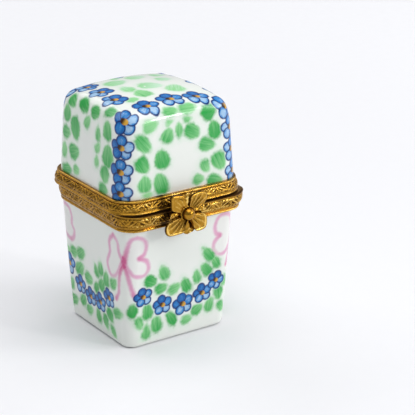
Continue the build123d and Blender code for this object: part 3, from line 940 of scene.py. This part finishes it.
chased_brass = brass_material("chased_brass", chased=True)
lower_crest = (lower_high.y - lower_low.y) / 2 - 0.1
upper_crest = (upper_high.y - upper_low.y) / 2 - 0.1
lower_shift = (lower_low.x + lower_high.x) / 2
lower_edge = FOOT_HALF + BASE_DRAFT * lower_low.z
upper_edge = LID_RIM_HALF - LID_DRAFT * (upper_high.z - LID_RIM_Z)
lower_inner, upper_inner = BASE_RIM_HALF - WALL + 0.5, LID_RIM_HALF - WALL
lower = bezel_outline(lower_edge, lower_low.z, BASE_RIM_Z, lower_high.z, lower_crest, lower_inner, 26)
upper = bezel_outline(upper_edge, upper_high.z, LID_RIM_Z, upper_low.z, upper_crest, upper_inner, 22)
chased_bezel(
    "chased_lower_bezel", "lower_bezel", "base", lower_shift, BASE_CORNER_CENTRE, *lower,
    chased=(0.3, 0.97), lean=0.4, tarnish=0.0,
)
chased_bezel(
    "chased_upper_bezel", "upper_bezel", "lid", 0.0, LID_CORNER_CENTRE, *upper,
    chased=(0.03, 0.8), lean=-0.15, tarnish=0.12,
)


# ---- clasp flower ----
# Each petal's and sepal's outer edge, as (along +X, along +Z) from the clasp's axis. They were
# modelled one by one, so no two are alike.
PETAL_EDGES = (
    [(-0.4, 1.3), (-0.45, 2.6), (-0.5, 3.7), (-0.9, 4.3), (-2.2, 4.6), (-3.7, 4.8), (-4.2, 4.5),
     (-4.2, 3.2), (-4.1, 1.8), (-3.8, 1.2), (-2.8, 0.9), (-1.3, 0.4)],
    [(0.2, 1.3), (0.6, 2.5), (0.8, 3.6), (1.3, 4.2), (3.0, 4.5), (4.7, 4.4), (5.4, 3.9), (5.4, 2.9),
     (4.9, 1.8), (4.0, 1.3), (2.6, 1.0), (1.3, 0.5)],
    [(1.3, -0.2), (2.4, -0.4), (4.1, -0.7), (5.0, -1.5), (5.2, -2.8), (5.0, -4.0), (4.2, -4.6),
     (2.6, -4.7), (1.8, -4.2), (1.2, -2.7), (0.5, -1.3)],
    [(-0.5, -1.2), (-0.9, -2.4), (-1.1, -3.7), (-1.5, -4.3), (-3.1, -4.5), (-4.9, -4.5), (-5.7, -3.9),
     (-5.9, -2.7), (-5.3, -1.5), (-3.7, -1.1), (-1.3, -0.3)],
)
SEPAL_EDGES = (
    [(-0.5, 1.0), (-0.5, 2.5), (-1.3, 3.6), (-1.1, 4.3), (-0.5, 4.3), (0.1, 4.9), (0.7, 4.4), (1.5, 4.3),
     (1.4, 3.7), (0.7, 2.5), (0.5, 1.0)],
    [(1.0, 0.6), (2.6, 0.9), (3.9, 0.8), (4.6, 0.1), (3.9, -0.6), (2.6, -0.7), (1.0, -0.5)],
    [(1.0, -0.8), (1.9, -2.4), (2.3, -3.8), (1.7, -4.7), (0.7, -4.8), (0.0, -5.1), (-0.8, -4.7),
     (-0.9, -3.6), (-0.6, -2.4), (-0.5, -1.0)],
    [(-1.0, -0.5), (-2.6, -0.9), (-3.9, -0.9), (-4.5, -0.2), (-4.0, 0.5), (-2.6, 0.7), (-1.0, 0.6)],
)
# Each petal's cup, its twist, how bright a highlight is painted on its rim and how deep its chased lines are
PETAL_SHAPES = ((-0.15, -0.1, 0.2, 0.4), (0.1, -0.3, 0.3, 1.2), (0.5, 0.25, 1.0, 0.9), (0.4, -0.25, 0.6, 1.2))
FLOWER_X = CLASP_X - 0.4  # the flower sits a little left of the tongue


def cast_plates(name, node, edges, relief, thickness, rows, columns):
    """Closed plates from the clasp's axis to each edge. relief gives their depth, and their patina with
    painted shade and highlights.
    """
    points, patina_and_painted_light, faces = [], [], []
    grid = np.arange(rows * columns).reshape(rows, columns)
    r, w = np.meshgrid(np.linspace(0, 1, rows), np.linspace(-1, 1, columns), indexing="ij")
    for number, edge in enumerate(edges):
        line = smooth_line(edge, 16)
        run = np.cumsum(np.hypot(*np.diff(line, axis=0, prepend=line[:1]).T))
        place = (w[0] + 1) / 2 * run[-1]
        x, z = np.interp(place, run, line[:, 0]), np.interp(place, run, line[:, 1])
        shrink = 0.12 + 0.88 * r
        depth, dark = relief(r, w, number)
        start, count = sum(len(p) for p in points), rows * columns
        for lower in (0.0, thickness):
            y = PETAL_BACK_Y - depth + lower
            points.append(np.stack([FLOWER_X + x * shrink, y, CLASP_Z + z * shrink], -1).reshape(-1, 3))
        # The back is dark, so the plates' thin sides show painted shade
        patina_and_painted_light += [dark.ravel(), 0 * dark.ravel() + 0.6]
        faces += sheet_faces(rows, columns, start)
        faces += sheet_faces(rows, columns, start + count, flip=True)
        rim = np.concatenate([grid[0], grid[1:, -1], grid[-1, -2::-1], grid[-2:0:-1, 0]]).tolist()
        for a, b in zip(rim, rim[1:] + rim[:1]):
            faces.append((start + b, start + a, start + count + a, start + count + b))
    piece = mesh_object(name, np.concatenate(points), faces, {"patina_and_painted_light": np.concatenate(patina_and_painted_light)})
    piece.data.materials.append(chased_brass)
    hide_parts(node)
    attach(piece, "lid")


def petal_relief(r, w, number):
    """Cupped, with a raised line inside its rim and chased lines that spread from the centre. The raised line
    has a painted highlight and the outer edge painted shade.
    """
    cup, twist, rim_highlight, chased = PETAL_SHAPES[number]
    out = np.maximum(r, np.abs(w) ** 0.5 * (0.6 + 0.4 * r))
    rim = bell(out - 0.93, 0.05) * unit(3 * r)
    edge = unit((out - 0.95) / 0.05)
    spread = bell(r - 0.48, 0.34, 4) * (1 - np.abs(w) ** 6) * chased
    veins = np.cos(w * pi * (7 + number % 2) + number) * spread
    curve = cup * (w**2 * r**1.5 + 0.6 * r**4) + twist * w * r
    depth = 0.55 + 0.3 * np.sin(pi * r) + curve + 0.12 * rim + 0.08 * veins
    dark = 0.5 * bell(r, 0.22) - 0.06 - 0.55 * np.clip(veins, -1.1, 0.35)
    # The raised line is painted lighter as a highlight, and the outer edge darker as painted shade
    return depth, dark - 0.75 * rim_highlight * rim + 1.1 * edge


def sepal_relief(r, w, number):
    ridge = bell(w, 0.16)
    ribs = np.cos((r * 4 - np.abs(w) * 1.5) * 2 * pi) * r
    rim = unit(np.abs(w) ** 8 + r**10)
    # The top sepal is raised, and painted lighter where shade falls between the upper petals
    raised = 0.35 * np.sin(pi * r) if number == 0 else 0.0
    depth = 0.22 * ridge + 0.05 * ribs + 0.3 * r + 0.08 * rim + raised
    return depth, 0.35 - 0.5 * ridge - 0.3 * ribs - 0.3 * rim - 1.2 * raised


cast_plates("cast_petals", "clasp_flower", PETAL_EDGES, petal_relief, 0.5, 44, 61)
cast_plates("cast_sepals", "clasp_sepals", SEPAL_EDGES, sepal_relief, 0.3, 34, 33)

# The flower's centre: a collar, a groove and a polished bead, turned about the clasp's axis
BEAD_RADIUS, BEAD_DEPTH = 1.42, 1.12
bead_profile = [(0.3, 0.1), (1.85, 0.15), (1.95, 0.55), (1.8, 0.9), (1.6, 0.95), (1.46, 0.75)]
bead_profile += [
    (BEAD_RADIUS * cos(a), BEAD_DEPTH + BEAD_RADIUS * sin(a))
    for a in np.radians(np.linspace(-14, 86, 22))
]
around = np.linspace(0, 2 * pi, 72, endpoint=False)
points, patina_and_painted_light = [], []
for k, (radius, depth) in enumerate(bead_profile):
    lobes = 1 + (0.03 * np.cos(16 * around) if k in (2, 3) else 0 * around)
    x, z = radius * lobes * np.sin(around), radius * lobes * np.cos(around)
    points.append(np.column_stack([FLOWER_X + x, PETAL_BACK_Y - depth + 0 * x, CLASP_Z + z]))
    patina_and_painted_light.append(0 * x + (0.9 if k in (4, 5, 6) else 0.3 if k < 4 else 0.1))
faces = [face[::-1] for face in tube_faces(len(bead_profile), len(around))]
faces.append(tuple(range(len(around))))
faces.append(tuple(len(bead_profile) * len(around) - 1 - k for k in range(len(around))))
bead = mesh_object("cast_bead", np.concatenate(points), faces, {"patina_and_painted_light": np.concatenate(patina_and_painted_light)})
bead.data.materials.append(chased_brass)
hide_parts("clasp_bead")
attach(bead, "lid")

# ---- CAD nodes that keep their shape ----
plain_brass = brass_material("plain_brass")
plaster = plaster_material()
for node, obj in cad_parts.items():
    obj.data.materials.clear()
    obj.data.materials.append(plaster if "plaster" in node else plain_brass)

# ---- floor, light and camera ----
FLOOR_HALF = 3000
floor_corners = [(x * FLOOR_HALF, y * FLOOR_HALF, 0) for x, y in ((-1, -1), (1, -1), (1, 1), (-1, 1))]
floor = mesh_object("floor", floor_corners, [(0, 1, 2, 3)])
floor.data.materials.append(floor_material())

LIGHT_AIM = Vector((0, 0, 0.03))
# Soft rectangular lights, with their places and sizes in metres and their power in watts
LIGHTS = (
    ("key", (0.75, -0.55, 0.55), (0.35, 0.35), 2.55),
    ("lamp", (0.332, -0.555, 0.3), (0.075, 0.14), 0.85),
    ("overhead", (0.0, -0.1, 1.0), (1.0, 1.0), 7.0),
    ("back", (-0.2, 0.9, 0.8), (1.0, 0.5), 2.7),
    ("right", (1.0, 0.15, 0.4), (0.5, 0.5), 1.2),
)
for name, place, size, power in LIGHTS:
    data = bpy.data.lights.new(name, "AREA")
    data.shape = "RECTANGLE"
    data.size, data.size_y = size
    data.energy = power
    light = linked(name, data)
    light.location = place
    light.rotation_euler = (LIGHT_AIM - light.location).to_track_quat("-Z", "Y").to_euler()

WORLD_STRENGTH = 0.32
world = bpy.data.worlds.new("studio")
world.use_nodes = True
background = world.node_tree.nodes["Background"].inputs
background["Color"].default_value = (0.95, 0.97, 1.0, 1)
background["Strength"].default_value = WORLD_STRENGTH
scene.world = world
scene.view_settings.view_transform = "Standard"

# The camera looks down at a near corner with a long lens, turned off its aim by three small angles
AZIMUTH, ELEVATION, DISTANCE = radians(-31.9), radians(20.45), 0.3778
OFF_AIM = {"Y": -0.0381, "X": -0.00706, "Z": -0.0142}
SENSOR, LENS = 36.0, 138.8
AIM = Vector((0, 0, 0.031))
across, ahead = sin(AZIMUTH), cos(AZIMUTH)
back = Vector((across * cos(ELEVATION), -ahead * cos(ELEVATION), sin(ELEVATION)))
right = Vector((ahead, across, 0))
upward = back.cross(right)
level = Matrix((right, upward, back)).transposed().to_4x4()
yaw, pitch, roll = (Matrix.Rotation(angle, 4, axis) for axis, angle in OFF_AIM.items())
camera_data = bpy.data.cameras.new("camera")
camera_data.sensor_width = SENSOR
camera_data.lens = LENS
camera_data.clip_start = 0.01
camera = linked("camera", camera_data)
camera.matrix_world = Matrix.Translation(AIM + back * DISTANCE) @ level @ (yaw @ pitch @ roll)
scene.camera = camera
